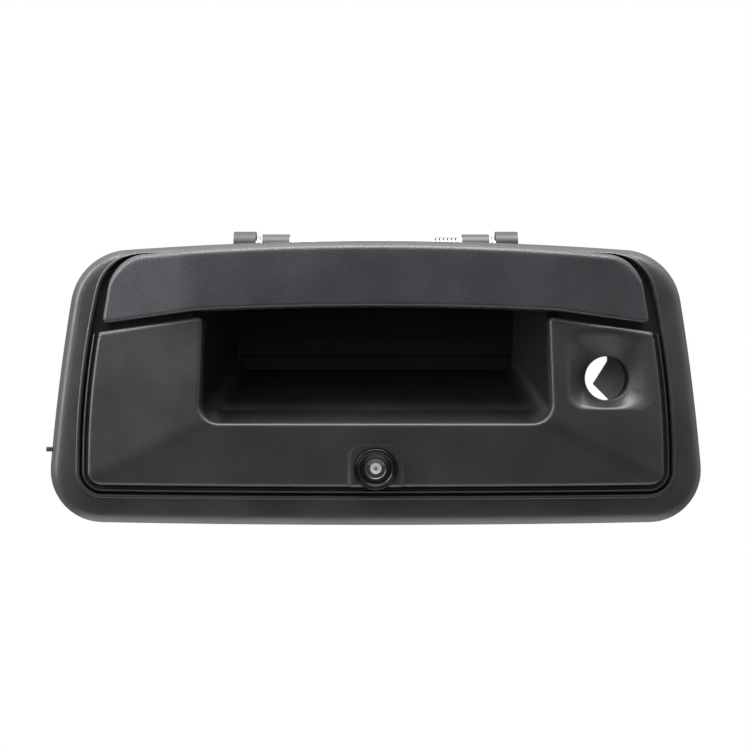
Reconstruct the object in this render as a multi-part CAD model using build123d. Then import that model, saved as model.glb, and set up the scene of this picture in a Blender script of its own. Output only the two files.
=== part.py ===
"""Tailgate handle with a built-in backup camera, as one assembly of separate pieces.

Frame: +X to the right and +Z up as seen from behind the vehicle, +Y into the tailgate, so the handle
faces -Y. The origin is the centre of the four fixing studs, on the plane where the assembly sits on
the tailgate. "Height" means the distance from that plane towards the person at the handle, -Y.

How it comes apart: a trim rim and its foam seal; a face panel with the hand opening, key recess and
camera boss; a hand cup; a moulded carrier that holds everything; a lift handle made of an outer cover
and an inner frame, on a long hinge pin; a bell crank with two rod clips, pushed by the handle's finger;
a lock stop plate; and a camera built up from lens, barrel, shells, board and socket.
"""

from build123d import *
from math import hypot
import os

# ---------------------------------------------------------------- driving dimensions (mm)
# trim rim
RIM_BOTTOM_CORNER = (170.9, -71.6)
RIM_SIDE_MIDDLE = (164.4, -0.5)
RIM_TOP_CORNER = (154.0, 67.2)
RIM_TOP_Z, RIM_BOTTOM_Z = 73.9, -73.7
RIM_BOTTOM_R, RIM_TOP_R = 27.0, 31.0
RIM_EDGE_HEIGHT, RIM_CREST_HEIGHT = 4.6, 9.2
RIM_SLOPE_WIDTH = 14.0
RIM_WALL = 2.4
SEAL_THICK, SEAL_WIDTH, SEAL_INSET = 1.5, 5.0, 1.0
RIM_SCREWS = [(s * x, z) for s in (-1, 1) for x, z in ((158.6, -38.0), (152.2, 22.0), (80.0, -64.2))]

# opening inside the rim, which the handle and the face panel fill
WELL_BOTTOM_CORNER = (153.2, -57.6)
WELL_SIDE_MIDDLE = (150.7, 5.0)
WELL_TOP_CORNER = (138.8, 66.4)
WELL_TOP_Z, WELL_BOTTOM_Z = 70.3, -58.8
WELL_BOTTOM_R, WELL_TOP_R = 12.5, 24.0

# face panel
PANEL_GAP = 2.8
PANEL_LIP_HEIGHT, PANEL_LIP_WIDTH = 6.6, 1.9
PANEL_CREST_HEIGHT = 21.2
PANEL_WALL = 2.8
PANEL_BACK_HEIGHT = 3.1
PANEL_SIDE_SLOPE, PANEL_LOWER_SLOPE = 0.138, 0.28
PANEL_RIDGE_R = 60.0
SHOULDER_INNER = (92.2, 33.7)
SHOULDER_SLOPE = 0.1475
OPENING_TOP_X, OPENING_BOTTOM_X, OPENING_BOTTOM_Z = 88.1, 90.1, -20.3
OPENING_R = 10.0

# hand cup
CUP_WALL = 2.4
CUP_FRONT_HEIGHT, CUP_FLANGE = 5.0, 6.5
CUP_BACK_Y = 26.0
CUP_BACK_X, CUP_BACK_FLOOR_Z, CUP_TOP_Z = 73.5, 7.4, 46.0
CUP_SLOT_BOTTOM_Z, CUP_SLOT_TOP_Z, CUP_LEDGE_TOP_Z = 8.6, 15.0, 25.5

# lift handle and its hinge
HANDLE_TOP_Z = 71.1
HANDLE_TOP_CORNER = (135.0, 64.6)
HANDLE_END_CORNER = (140.8, 30.4)
HANDLE_KINK = (91.7, 36.9)
HANDLE_WALL, FRAME_THICK = 2.6, 2.6
HANDLE_BOTTOM_Z, HANDLE_EDGE_R = 39.2, 2.0
HANDLE_FRONT_HEIGHT, HANDLE_KNEE_X, HANDLE_END_SLOPE = 24.0, 93.0, 0.22
HANDLE_REAR_LOW, HANDLE_REAR_HIGH = (31.0, 4.4), (68.0, 9.8)
HINGE_Y, HINGE_Z = 12.5, 72.4
LUG_R, KNUCKLE_R = 7.6, 6.2
LUG_X0, LUG_X1 = 63.1, 74.7
KNUCKLE_X0, KNUCKLE_X1 = 45.5, 59.7
CROSSBAR_Z0, CROSSBAR_Z1 = 69.2, 73.8
HINGE_PIN_R, HINGE_PIN_CLEAR, BUSH_R = 3.4, 0.06, 4.65
HINGE_PIN_END, PIN_CLIP_X = 74.2, 61.6

# bell crank
FINGER_X, FINGER_REACH, FINGER_DROP, FINGER_R = 38.0, 38.0, 9.0, 3.0
CRANK_PAD_RISE, CRANK_FREE_PLAY = 30.0, 1.2
CRANK_Z = HINGE_Z - FINGER_DROP - FINGER_R - CRANK_FREE_PLAY - CRANK_PAD_RISE
CRANK_Y0, CRANK_Y1 = 54.0, 57.0
ROD_ARM = 24.0
ROD_R = 2.6

# carrier
PLATE_THICK = 3.0
BRIDGE_Y0, BRIDGE_Y1 = 33.0, 36.0
STUD_X, STUD_Z = 125.0, 46.0
STUD_R, STUD_NECK_R, STUD_LENGTH = 3.0, 3.6, 22.0

# key recess
KEY_X, KEY_Z = 119.3, 2.5
KEY_BORE_R = 11.3
KEY_FLOOR_HEIGHT = 8.8
KEY_COLLAR_BACK = 3.4
SLEEVE_Y1 = 12.0

# opening through the carrier plate behind the cup
CARRIER_WINDOW_LOW, CARRIER_WINDOW_HIGH = -27.0, 52.5

# camera
CAM_Z, CAM_TILT = -44.0, 12.0
CAM_FACE_HEIGHT = 15.8
CAM_RING_R, CAM_BORE_R = 10.9, 11.3


CAM_PIN_X = (-3.6, -1.2, 1.2, 3.6)

# fixings, as x and z of each
STUDS = [(s * STUD_X, t * STUD_Z) for s in (-1, 1) for t in (-1, 1)]
CUP_SCREWS = [(s * 62.0, 20.0) for s in (-1, 1)]
HANDLE_SCREWS = [(s * x, z) for s in (-1, 1) for x, z in ((36.0, 50.0), (84.0, 50.0), (124.0, 46.0))]
LOCK_SCREWS = [(KEY_X + 12.2, KEY_Z + 12.2), (KEY_X + 12.2, KEY_Z - 12.2)]
BUMPERS = [(s * 106.0, 50.0) for s in (-1, 1)]


# ---------------------------------------------------------------- helpers
def at_height(sketch, low, high):
    """A flat outline, drawn in x and z, made solid between two heights above the seat."""
    return extrude(Plane.XZ.offset(low) * sketch, amount=high - low, dir=(0, -1, 0))


def block(x0, x1, y0, y1, z0, z1):
    return Pos((x0 + x1) / 2, (y0 + y1) / 2, (z0 + z1) / 2) * Box(x1 - x0, y1 - y0, z1 - z0)


def rod_y(x, z, radius, y0, y1):
    return Pos(x, (y0 + y1) / 2, z) * Rot(90, 0, 0) * Cylinder(radius, y1 - y0)


def rod_x(y, z, radius, x0, x1):
    return Pos((x0 + x1) / 2, y, z) * Rot(0, 90, 0) * Cylinder(radius, x1 - x0)


def tube_y(x, z, outer, inner, y0, y1):
    return rod_y(x, z, outer, y0, y1) - rod_y(x, z, inner, y0 - 1, y1 + 1)


def tube_x(y, z, outer, inner, x0, x1):
    return rod_x(y, z, outer, x0, x1) - rod_x(y, z, inner, x0 - 1, x1 + 1)


def web(points, x0, x1):
    """A profile in y and z, made solid from x0 to x1."""
    return extrude(Plane.YZ.offset(x0) * Polygon(*points, align=None), amount=x1 - x0, dir=(1, 0, 0))


def both_sides(piece):
    return piece + mirror(piece, about=Plane.YZ)


def one(shape):
    """The single solid of a shape, which is an error if it has come apart."""
    solids = shape.solids()
    assert len(solids) == 1, f"{len(solids)} solids"
    return solids[0]


def save(name, *pieces):
    """Writes one node: its pieces stay separate solids."""
    solids = [s for piece in pieces for s in piece.solids()]
    shape = solids[0] if len(solids) == 1 else Compound(children=solids)
    export_step(shape, f"parts/{name}.step")


# ---------------------------------------------------------------- outlines, in x and z
def circle_through(p, q, r):
    """Centre and radius of the circle through three points."""
    (ax, az), (bx, bz), (cx, cz) = p, q, r
    d = 2 * (ax * (bz - cz) + bx * (cz - az) + cx * (az - bz))
    aa, bb, cc = ax * ax + az * az, bx * bx + bz * bz, cx * cx + cz * cz
    ux = (aa * (bz - cz) + bb * (cz - az) + cc * (az - bz)) / d
    uz = (aa * (cx - bx) + bb * (ax - cx) + cc * (bx - ax)) / d
    return ux, uz, hypot(ax - ux, az - uz)


def crossing(first, second, near):
    """The point near a given one where two circles cross."""
    (x0, z0, r0), (x1, z1, r1) = first, second
    d = hypot(x1 - x0, z1 - z0)
    along = (r0 * r0 - r1 * r1 + d * d) / (2 * d)
    across = (r0 * r0 - along * along) ** 0.5
    ux, uz = (x1 - x0) / d, (z1 - z0) / d
    both = [(x0 + along * ux - k * across * uz, z0 + along * uz + k * across * ux) for k in (-1, 1)]
    return min(both, key=lambda point: hypot(point[0] - near[0], point[1] - near[1]))


def four_sided(bottom, side, top, bottom_z, top_z, bottom_r, top_r, inset):
    """A symmetric outline of four gently curved sides with round corners, moved in by an inset."""
    (bx, bz), (sx, sz), (tx, tz) = bottom, side, top
    circles = [circle_through((-bx, bz), (0, bottom_z), (bx, bz)), circle_through((bx, bz), (sx, sz), (tx, tz)),
               circle_through((-tx, tz), (0, top_z), (tx, tz))]
    low, right, high = [(x, z, r - inset) for x, z, r in circles]
    cx, cz = crossing(low, right, (bx, bz))
    dx, dz = crossing(right, high, (tx, tz))
    middle_x = right[0] + (right[2] ** 2 - (sz - right[1]) ** 2) ** 0.5
    face = make_face([
        ThreePointArc((-cx, cz), (0, low[1] - low[2]), (cx, cz)),
        ThreePointArc((cx, cz), (middle_x, sz), (dx, dz)),
        ThreePointArc((dx, dz), (0, high[1] + high[2]), (-dx, dz)),
        ThreePointArc((-dx, dz), (-middle_x, sz), (-cx, cz)),
    ])
    face = fillet(face.vertices().sort_by(Axis.Y)[:2], bottom_r - inset)
    return fillet(face.vertices().sort_by(Axis.Y)[-2:], top_r - inset)


def rim_outline(inset=0.0):
    return four_sided(RIM_BOTTOM_CORNER, RIM_SIDE_MIDDLE, RIM_TOP_CORNER,
                      RIM_BOTTOM_Z, RIM_TOP_Z, RIM_BOTTOM_R, RIM_TOP_R, inset)


def well_outline(inset=0.0):
    return four_sided(WELL_BOTTOM_CORNER, WELL_SIDE_MIDDLE, WELL_TOP_CORNER,
                      WELL_BOTTOM_Z, WELL_TOP_Z, WELL_BOTTOM_R, WELL_TOP_R, inset)


def below_shoulders(drop=0.0):
    """Everything under the sloped top edges of the face panel."""
    ix, iz = SHOULDER_INNER
    ox = 170.0
    oz = iz - SHOULDER_SLOPE * (ox - ix)
    points = [(-ox, oz - drop), (-ix, iz - drop), (ix, iz - drop), (ox, oz - drop), (ox, -90), (-ox, -90)]
    return Polygon(*points, align=None)


def opening_outline(grow=0.0, top=60.0, radius=OPENING_R):
    """The hand opening, which has no top edge of its own: the handle closes it."""
    slope = (OPENING_BOTTOM_X - OPENING_TOP_X) / (40.0 - OPENING_BOTTOM_Z)
    top_x = OPENING_TOP_X - slope * (top - 40.0) + grow
    bx, bz = OPENING_BOTTOM_X + grow, OPENING_BOTTOM_Z - grow
    face = make_face(Polyline((-bx, bz), (bx, bz), (top_x, top), (-top_x, top), close=True))
    return fillet(face.vertices().sort_by(Axis.Y)[:2], radius + grow)


# ---------------------------------------------------------------- trim rim and seal
def rim_hill(lower=0.0, inset=0.0):
    """The rim's outer shape before the well is cut: a wall, then a slope up towards the well."""
    edge = RIM_EDGE_HEIGHT - lower
    wall = at_height(rim_outline(inset), SEAL_THICK, edge)
    slope = loft([Plane.XZ.offset(edge) * rim_outline(inset),
                  Plane.XZ.offset(RIM_CREST_HEIGHT - lower) * rim_outline(RIM_SLOPE_WIDTH)], ruled=True)
    return wall + slope


def make_bezel_rim():
    hill = rim_hill()
    hill = fillet(hill.edges().filter_by(lambda e: abs(e.center().Y + RIM_EDGE_HEIGHT) < 0.05), 2.6)
    rim = hill - at_height(well_outline(), -5, 30)
    # hollow behind, with a rebate that the carrier plate fills
    rebate_inset = SEAL_INSET + SEAL_WIDTH + 0.5
    pocket = at_height(rim_outline(rebate_inset), 0, 30) & rim_hill(RIM_WALL, RIM_WALL)
    pocket -= at_height(well_outline(-RIM_WALL), -5, 30)
    rim = rim - pocket - at_height(rim_outline(rebate_inset), 0, PLATE_THICK + 0.1)
    for x, z in RIM_SCREWS:
        rim += rod_y(x, z, 2.7, -6.6, -PLATE_THICK - 0.1)
        rim -= rod_y(x, z, 1.0, -5.4, 0)
    # locating peg on the left side
    rim += block(-171.2, -165.0, -4.0, -SEAL_THICK, -35.6, -33.0)
    return one(rim)


def make_bezel_seal():
    ring = rim_outline(SEAL_INSET) - rim_outline(SEAL_INSET + SEAL_WIDTH) - well_outline()
    return one(at_height(ring, 0, SEAL_THICK))


# ---------------------------------------------------------------- face panel
def panel_roof(lower=0.0):
    """Everything behind the panel's front surface: two side facets and one lower facet."""
    peak = PANEL_CREST_HEIGHT - lower
    far = 170.0
    side = PANEL_SIDE_SLOPE
    sides = make_face(Polyline((-far, 0), (far, 0), (far, peak - side * (far - OPENING_TOP_X)),
                               (0, peak + side * OPENING_TOP_X),
                               (-far, peak - side * (far - OPENING_TOP_X)), close=True))
    sides = extrude(Pos(0, 0, -90) * mirror(sides, about=Plane.XZ), amount=150, dir=(0, 0, 1))
    front = peak + PANEL_LOWER_SLOPE * (60 - OPENING_BOTTOM_Z)
    foot = peak - PANEL_LOWER_SLOPE * (OPENING_BOTTOM_Z + 85)
    lower_part = web([(0, -85), (-foot, -85), (-front, 60), (0, 60)], -far, far)
    roof = sides & lower_part
    ridge = roof.edges().filter_by(
        lambda e: e.center().Y < -5 and abs(abs(e.tangent_at(0.5).X) - 0.5) < 0.49 and abs(e.tangent_at(0.5).Z) > 0.1
    )
    return fillet(ridge, PANEL_RIDGE_R)


def panel_outline(inset=0.0):
    return well_outline(PANEL_GAP + inset) & below_shoulders(inset)


def rounded_square(x0, x1, z0, z1, radius):
    face = Pos((x0 + x1) / 2, (z0 + z1) / 2) * Rectangle(x1 - x0, z1 - z0)
    return fillet(face.vertices(), radius)


def key_funnel(grow=0.0, deeper=0.0):
    """The dished recess around the key bore."""
    top = rounded_square(96.7 - grow, 142.3 + grow, -12.8 - grow, 28.1 + grow, 8.0 + grow)
    floor = rounded_square(KEY_X - 12 - grow, KEY_X + 12 + grow, KEY_Z - 12 - grow, KEY_Z + 12 + grow,
                           11.5 + grow)
    return loft([Plane.XZ.offset(KEY_FLOOR_HEIGHT - deeper) * floor, Plane.XZ.offset(20.4) * top], ruled=True)


PANEL_SCREWS = [(s * x, z) for s in (-1, 1) for x, z in ((40, -50), (108, -47), (136, -24), (101.5, 24))]


def make_face_panel():
    lip = at_height(panel_outline(), PANEL_BACK_HEIGHT, PANEL_LIP_HEIGHT)
    main = at_height(panel_outline(PANEL_LIP_WIDTH), PANEL_BACK_HEIGHT, 30) & panel_roof()
    hollow = at_height(panel_outline(PANEL_LIP_WIDTH + PANEL_WALL), 0, 30) & panel_roof(PANEL_WALL)
    skirt_hollow = at_height(panel_outline(PANEL_LIP_WIDTH + PANEL_WALL), 0, PANEL_LIP_HEIGHT)
    panel = lip + main - hollow - skirt_hollow
    # return wall round the hand opening
    wall = at_height(opening_outline(2.6, 32.0), 5.3, 30) & panel_roof()
    wall &= at_height(panel_outline(PANEL_LIP_WIDTH), 0, 30)
    panel += wall
    panel -= at_height(opening_outline(), 0, 40)
    # key recess, bore and collar
    panel += key_funnel(2.4, 2.4) & panel_roof()
    panel += tube_y(KEY_X, KEY_Z, KEY_BORE_R + 2.4, KEY_BORE_R, -KEY_FLOOR_HEIGHT, -KEY_COLLAR_BACK)
    panel -= key_funnel()
    panel -= rod_y(KEY_X, KEY_Z, KEY_BORE_R, -30, 0)
    # camera boss
    pad = make_face(Polyline((-14.2, -57.5), (14.2, -57.5), (14.2, -30.5), (-14.2, -30.5), close=True))
    pad = fillet(pad.vertices().group_by(Axis.Y)[-1], 8.0)
    boss = at_height(pad, 6.6, 40) - camera_at() * Pos(0, -25, 0) * Box(80, 50, 80)
    boss &= at_height(panel_outline(0.3), 0, 40)
    panel += boss
    panel -= camera_at() * Pos(0, 10, 0) * Rot(90, 0, 0) * Cylinder(CAM_BORE_R, 60)
    panel -= camera_at() * Pos(0, 20.0, 0) * Box(26.4, 32.0, 25.6)
    for x, z in PANEL_SCREWS:
        post = rod_y(x, z, 3.0, -30, -PANEL_BACK_HEIGHT) & panel_roof(1.0)
        panel += post
        panel -= rod_y(x, z, 1.1, -9.4, 0)
    panel -= at_height(opening_outline(), 0, 40)
    panel -= at_height(opening_outline(CUP_FLANGE + 0.4), 0, CUP_FRONT_HEIGHT + 0.2)
    return one(panel)


# ---------------------------------------------------------------- hand cup
def make_hand_cup():
    front = CUP_FRONT_HEIGHT

    def tub(grow, back_y):
        near = opening_outline(grow, CUP_TOP_Z + grow)
        far = make_face(Polyline((-CUP_BACK_X - grow, CUP_BACK_FLOOR_Z - grow),
                                 (CUP_BACK_X + grow, CUP_BACK_FLOOR_Z - grow),
                                 (CUP_BACK_X + grow, CUP_TOP_Z + grow),
                                 (-CUP_BACK_X - grow, CUP_TOP_Z + grow), close=True))
        far = fillet(far.vertices().sort_by(Axis.Y)[:2], 5.0 + grow)
        return loft([Plane.XZ.offset(front) * near, Plane.XZ.offset(-back_y) * far], ruled=True)

    slot = (CUP_BACK_X - 1.0, CUP_SLOT_BOTTOM_Z, CUP_SLOT_TOP_Z)
    band = (CUP_BACK_X - 2.0, CUP_SLOT_TOP_Z, CUP_LEDGE_TOP_Z)
    cup = tub(CUP_WALL, CUP_BACK_Y + 0.4)
    # flange that hides the edge of the carrier's window
    flange = at_height(opening_outline(CUP_FLANGE), PLATE_THICK + 0.15, CUP_FRONT_HEIGHT - 0.4)
    cup += flange & block(-120, 120, -9, 1, -60, CUP_TOP_Z)
    for (half, low, high), depth in ((slot, CUP_BACK_Y + 4.0), (band, CUP_BACK_Y + 1.0)):
        cup += block(-half - 2, half + 2, CUP_BACK_Y - 4, depth + 2, low - 2, high + 2)
    for x, z in CUP_SCREWS:
        cup += rod_y(x, z, 3.2, CUP_BACK_Y - 1, BRIDGE_Y0 - 0.05)
    cup -= tub(0, CUP_BACK_Y - 2.0)
    for (half, low, high), depth in ((slot, CUP_BACK_Y + 4.0), (band, CUP_BACK_Y + 1.0)):
        cup -= block(-half, half, 10, depth, low, high)
    for x, z in CUP_SCREWS:
        cup -= rod_y(x, z, 1.1, BRIDGE_Y0 - 4.2, BRIDGE_Y0 + 1)
    return one(cup)


# ---------------------------------------------------------------- carrier
def make_carrier():
    plate = at_height(rim_outline(SEAL_INSET + SEAL_WIDTH + 1.0), 0, PLATE_THICK)
    plate += at_height(well_outline(0.3), 0, PLATE_THICK)
    plate -= block(-93, 93, -5, 5, CARRIER_WINDOW_LOW, CARRIER_WINDOW_HIGH)
    plate -= block(-61.4, 61.4, -5, 5, 40, 90)
    plate -= block(-15.5, 15.5, -5, 5, -56.3, -20)
    # hinge towers
    tower = web([(-0.5, 49.6), (-0.5, 62), (4.2, 68), (HINGE_Y, HINGE_Z), (20.4, 66.5), (15, 56), (6, 49.6)],
                LUG_X0, LUG_X1)
    tower += rod_x(HINGE_Y, HINGE_Z, LUG_R, LUG_X0, LUG_X1)
    tower += web([(-0.5, 49.6), (-0.5, 60), (9, 60), (4, 49.6)], LUG_X0 - 1.4, LUG_X1 + 3)
    # legs and bridge behind the cup
    leg = block(93, 97, -0.5, BRIDGE_Y1, 0, 36)
    leg += block(96, 104, -0.5, 1.5, 2, 34)
    bridge = block(-97, 97, BRIDGE_Y0, BRIDGE_Y1, 4, 36)
    bridge += rod_y(0, CRANK_Z, 9.0, BRIDGE_Y0, CRANK_Y0 - 1.2)
    for z in (8, 32):
        bridge += block(-92, 92, BRIDGE_Y1 - 1, BRIDGE_Y1 + 3, z - 1, z + 1)
    carrier = plate + both_sides(tower) + both_sides(leg) + bridge
    # key sleeve
    carrier += rod_y(KEY_X, KEY_Z, 14.8, -1, SLEEVE_Y1)
    carrier -= rod_y(KEY_X, KEY_Z, 12.4, -5, SLEEVE_Y1 + 1)
    for x, z in LOCK_SCREWS:
        carrier += rod_y(x, z, 3.0, -1, SLEEVE_Y1)
        carrier -= rod_y(x, z, 1.0, SLEEVE_Y1 - 7, SLEEVE_Y1 + 1)
    # bores
    carrier -= rod_x(HINGE_Y, HINGE_Z, HINGE_PIN_R + HINGE_PIN_CLEAR, -90, 90)
    carrier -= rod_y(0, CRANK_Z, 3.5, BRIDGE_Y1 - 8, CRANK_Y0 + 2)
    for x, z in STUDS:
        carrier -= rod_y(x, z, STUD_NECK_R + 0.05, -5, 2)
        carrier -= rod_y(x, z, 6.5, -5, -1.4)
    for x, z in PANEL_SCREWS + RIM_SCREWS:
        carrier -= rod_y(x, z, 1.7, -5, 1)
        carrier -= rod_y(x, z, 3.2, -1.5, 1)
    for x, z in CUP_SCREWS:
        carrier -= rod_y(x, z, 1.7, BRIDGE_Y0 - 1, BRIDGE_Y1 + 5)
        carrier -= rod_y(x, z, 3.4, BRIDGE_Y1, BRIDGE_Y1 + 5)
    for x, z in BUMPERS:
        carrier -= rod_y(x, z, 2.05, -5, 1)
    return one(carrier)


def small_screw(x, z, seat_y, reach, radius=0.95, head=2.9, head_high=1.4):
    """A screw driven towards -Y, with its head behind seat_y and a cross recess."""
    screw = rod_y(x, z, radius, seat_y - reach, seat_y + 0.2)
    screw += rod_y(x, z, head, seat_y + 0.02, seat_y + head_high)
    cross = Box(2.6, 1.4, 0.7) + Box(0.7, 1.4, 2.6)
    return one(screw - Pos(x, seat_y + head_high, z) * cross)


def make_mounting_studs():
    studs = []
    for x, z in STUDS:
        stud = rod_y(x, z, STUD_NECK_R, -1.6, 0) + rod_y(x, z, 6.3, -2.9, -1.45)
        studs.append(one(stud + rod_y(x, z, STUD_R, 0, STUD_LENGTH)))
    return studs


# ---------------------------------------------------------------- hinge
def make_hinge_pin():
    pin = rod_x(HINGE_Y, HINGE_Z, HINGE_PIN_R, -HINGE_PIN_END, HINGE_PIN_END)
    for side in (-1, 1):
        pin -= tube_x(HINGE_Y, HINGE_Z, 5, 2.6, side * PIN_CLIP_X - 0.6, side * PIN_CLIP_X + 0.6)
    return one(chamfer(pin.faces().sort_by(Axis.X)[-1].edges() + pin.faces().sort_by(Axis.X)[0].edges(), 0.5))


def make_hinge_pin_clips():
    clips = []
    for side in (-1, 1):
        clip = tube_x(HINGE_Y, HINGE_Z, 5.0, 2.64, side * PIN_CLIP_X - 0.45, side * PIN_CLIP_X + 0.45)
        x = side * PIN_CLIP_X
        clips.append(one(clip - block(x - 1, x + 1, HINGE_Y - 1.5, HINGE_Y + 1.5, 60, HINGE_Z)))
    return clips


def make_hinge_bushes():
    return [one(tube_x(HINGE_Y, HINGE_Z, BUSH_R, HINGE_PIN_R + HINGE_PIN_CLEAR,
                       min(side * KNUCKLE_X0, side * KNUCKLE_X1) - 0.5,
                       max(side * KNUCKLE_X0, side * KNUCKLE_X1) + 0.5)) for side in (-1, 1)]


def make_return_spring():
    turns, pitch, coil, wire = 6, 2.1, 4.2, 0.62
    x0 = 31.0
    helix = Helix(pitch, turns * pitch, coil, center=(0, 0, 0), direction=(0, 0, 1))
    path = Pos(x0, HINGE_Y, HINGE_Z) * Rot(0, 90, 0) * helix
    start = path @ 0
    profile = Plane(origin=start, z_dir=path % 0) * Circle(wire)
    spring = sweep(profile, path=path)
    end = path @ 1
    # one leg down to the cup roof, the other back under the crossbar
    low = Vector(start.X, start.Y, CUP_TOP_Z + CUP_WALL + 0.05)
    spring += block(start.X - 0.6, start.X + 0.6, start.Y - 0.6, start.Y + 0.6, low.Z, start.Z)
    spring += block(end.X - 0.6, end.X + 0.6, end.Y - 0.6, 24.5, end.Z - 0.6, end.Z + 0.6)
    return one(spring)


# ---------------------------------------------------------------- lift handle
def handle_outline(inset=0.0):
    tx, tz = HANDLE_TOP_CORNER
    ex, ez = HANDLE_END_CORNER
    kx, kz = HANDLE_KINK
    face = make_face([
        Line((-ex, ez), (-kx, kz)), ThreePointArc((-kx, kz), (0, HANDLE_BOTTOM_Z), (kx, kz)),
        Line((kx, kz), (ex, ez)), Line((ex, ez), (tx, tz)),
        ThreePointArc((tx, tz), (0, HANDLE_TOP_Z), (-tx, tz)), Line((-tx, tz), (-ex, ez)),
    ])
    face = fillet(face.vertices().filter_by(lambda v: v.Y > 60), 20.5)
    face = fillet(face.vertices().filter_by(lambda v: v.Y < ez + 1), 2.5)
    return offset(face, -inset) if inset else face


def handle_roof(lower=0.0):
    """Everything behind the handle's front: a flat middle with ends that fall away."""
    flat = HANDLE_FRONT_HEIGHT - lower
    far, knee = 150.0, HANDLE_KNEE_X
    end = flat - HANDLE_END_SLOPE * (far - knee)
    face = make_face(Polyline((-far, 0), (far, 0), (far, -end), (knee, -flat), (-knee, -flat), (-far, -end),
                              close=True))
    roof = extrude(Pos(0, 0, 20) * face, amount=60, dir=(0, 0, 1))
    knees = roof.edges().filter_by(Axis.Z).filter_by(lambda e: abs(abs(e.center().X) - knee) < 0.1)
    return fillet(knees, 30.0)


def rear_height(z):
    """Height of the handle's sloping rear edge."""
    (z0, h0), (z1, h1) = HANDLE_REAR_LOW, HANDLE_REAR_HIGH
    return h0 + (h1 - h0) * (z - z0) / (z1 - z0)


def behind_handle(forward=0.0):
    """The space behind the handle's sloping rear edge."""
    low, high = rear_height(20) + forward, rear_height(80) + forward
    return web([(5, 20), (-low, 20), (-high, 80), (5, 80)], -160, 160)


def make_handle_cover():
    shell = at_height(handle_outline(), 0, 40) & handle_roof()
    rim = shell.edges().filter_by(
        lambda e: e.center().Y < -12.5 and e.center().Z > 28 and
        (abs(e.tangent_at(0.5).Z) < 0.95 or abs(e.center().X) > 120)
    )
    shell = fillet(rim, HANDLE_EDGE_R)
    hollow = at_height(handle_outline(HANDLE_WALL), 0, 40) & handle_roof(HANDLE_WALL)
    cover = shell - behind_handle() - hollow
    for x, z in HANDLE_SCREWS:
        post = rod_y(x, z, 3.0, -30, 0) & handle_roof(1.0)
        cover += post - behind_handle(FRAME_THICK + 0.1)
        cover -= rod_y(x, z, 1.1, -rear_height(z) - 7.0, 0)
    return one(cover)


def make_handle_frame():
    plate = at_height(handle_outline(HANDLE_WALL + 0.3), 0, 40) & behind_handle(FRAME_THICK)
    plate -= behind_handle()
    arm = web([(-9.0, 61.2), (-4.0, 61.2), (1.6, 63.4), (6.8, 68.6), (HINGE_Y, HINGE_Z), (18.0, 69.2), (9.6, 57.6),
               (0.0, 52.4), (-9.0, 49.5), (-16.5, 49.5), (-16.5, 61.2)], KNUCKLE_X0 + 1, KNUCKLE_X1 - 1)
    arm += rod_x(HINGE_Y, HINGE_Z, KNUCKLE_R, KNUCKLE_X0, KNUCKLE_X1)
    frame = plate + both_sides(arm)
    # crossbar behind the pin, and the finger that works the bell crank
    frame += block(-KNUCKLE_X0 - 2, KNUCKLE_X0 + 2, 21.0, 25.0, CROSSBAR_Z0, CROSSBAR_Z1)
    link = block(KNUCKLE_X0 + 0.5, KNUCKLE_X1 - 2, 16.0, 25.0, CROSSBAR_Z0, CROSSBAR_Z1)
    frame += both_sides(link)
    tip_y, tip_z = HINGE_Y + FINGER_REACH, HINGE_Z - FINGER_DROP
    frame += web([(22.0, CROSSBAR_Z0), (24.0, CROSSBAR_Z1), (40.0, 70.9), (tip_y + 2.9, tip_z + 4),
                  (tip_y + 2.9, tip_z), (tip_y - 3.0, tip_z - 0.6), (38.0, 65.4)], FINGER_X - 1.6, FINGER_X + 1.6)
    frame += Pos(FINGER_X, tip_y, tip_z) * Sphere(FINGER_R)
    # stiffening ribs into the cover
    for x in (-112, -70, -24, 24, 70, 112):
        rib = block(x - 0.9, x + 0.9, -30, 0, 42 if abs(x) < 100 else 40, 60) & handle_roof(HANDLE_WALL + 0.4)
        frame += rib - behind_handle(1.0)
    frame -= rod_x(HINGE_Y, HINGE_Z, BUSH_R + 0.03, -90, 90)
    for x, z in HANDLE_SCREWS:
        frame -= rod_y(x, z, 1.7, -30, 0)
        frame -= rod_y(x, z, 3.0, -rear_height(z) - 1.0, 0)
    return one(frame)


def make_handle_screws():
    return [small_screw(x, z, -rear_height(z) - 0.95, 5.5, 0.95, 2.7, 1.2) for x, z in HANDLE_SCREWS]


# ---------------------------------------------------------------- bell crank and rod clips
def make_bell_crank():
    hub = rod_y(0, CRANK_Z, 10.0, CRANK_Y0, CRANK_Y1)
    arms = Polyline((-6.5, ROD_ARM), (-8.5, 0), (-6.5, -ROD_ARM), (6.5, -ROD_ARM), (9, -6), (30, 20),
                    (46, 26), (46, CRANK_PAD_RISE), (25, CRANK_PAD_RISE), (6.5, ROD_ARM), close=True)
    plate = extrude(Plane.XZ.offset(-CRANK_Y0) * (Pos(0, CRANK_Z) * make_face(arms)), amount=CRANK_Y1 - CRANK_Y0,
                    dir=(0, 1, 0))
    crank = hub + plate
    for z in (-ROD_ARM, ROD_ARM):
        crank += rod_y(0, CRANK_Z + z, 6.5, CRANK_Y0, CRANK_Y1)
    crank += block(25, 46, 40.5, CRANK_Y0 + 1, CRANK_Z + CRANK_PAD_RISE - 2.2, CRANK_Z + CRANK_PAD_RISE)
    crank -= rod_y(0, CRANK_Z, 5.6, 50, 60)
    for z in (-ROD_ARM, ROD_ARM):
        crank -= rod_y(0, CRANK_Z + z, 2.55, 50, 60)
    crank -= rod_y(14, CRANK_Z + 12, 1.2, 50, 60)
    return one(crank)


def make_crank_bush():
    bush = tube_y(0, CRANK_Z, 5.5, 4.05, CRANK_Y0 - 0.6, CRANK_Y1 + 0.4)
    return one(bush)


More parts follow.
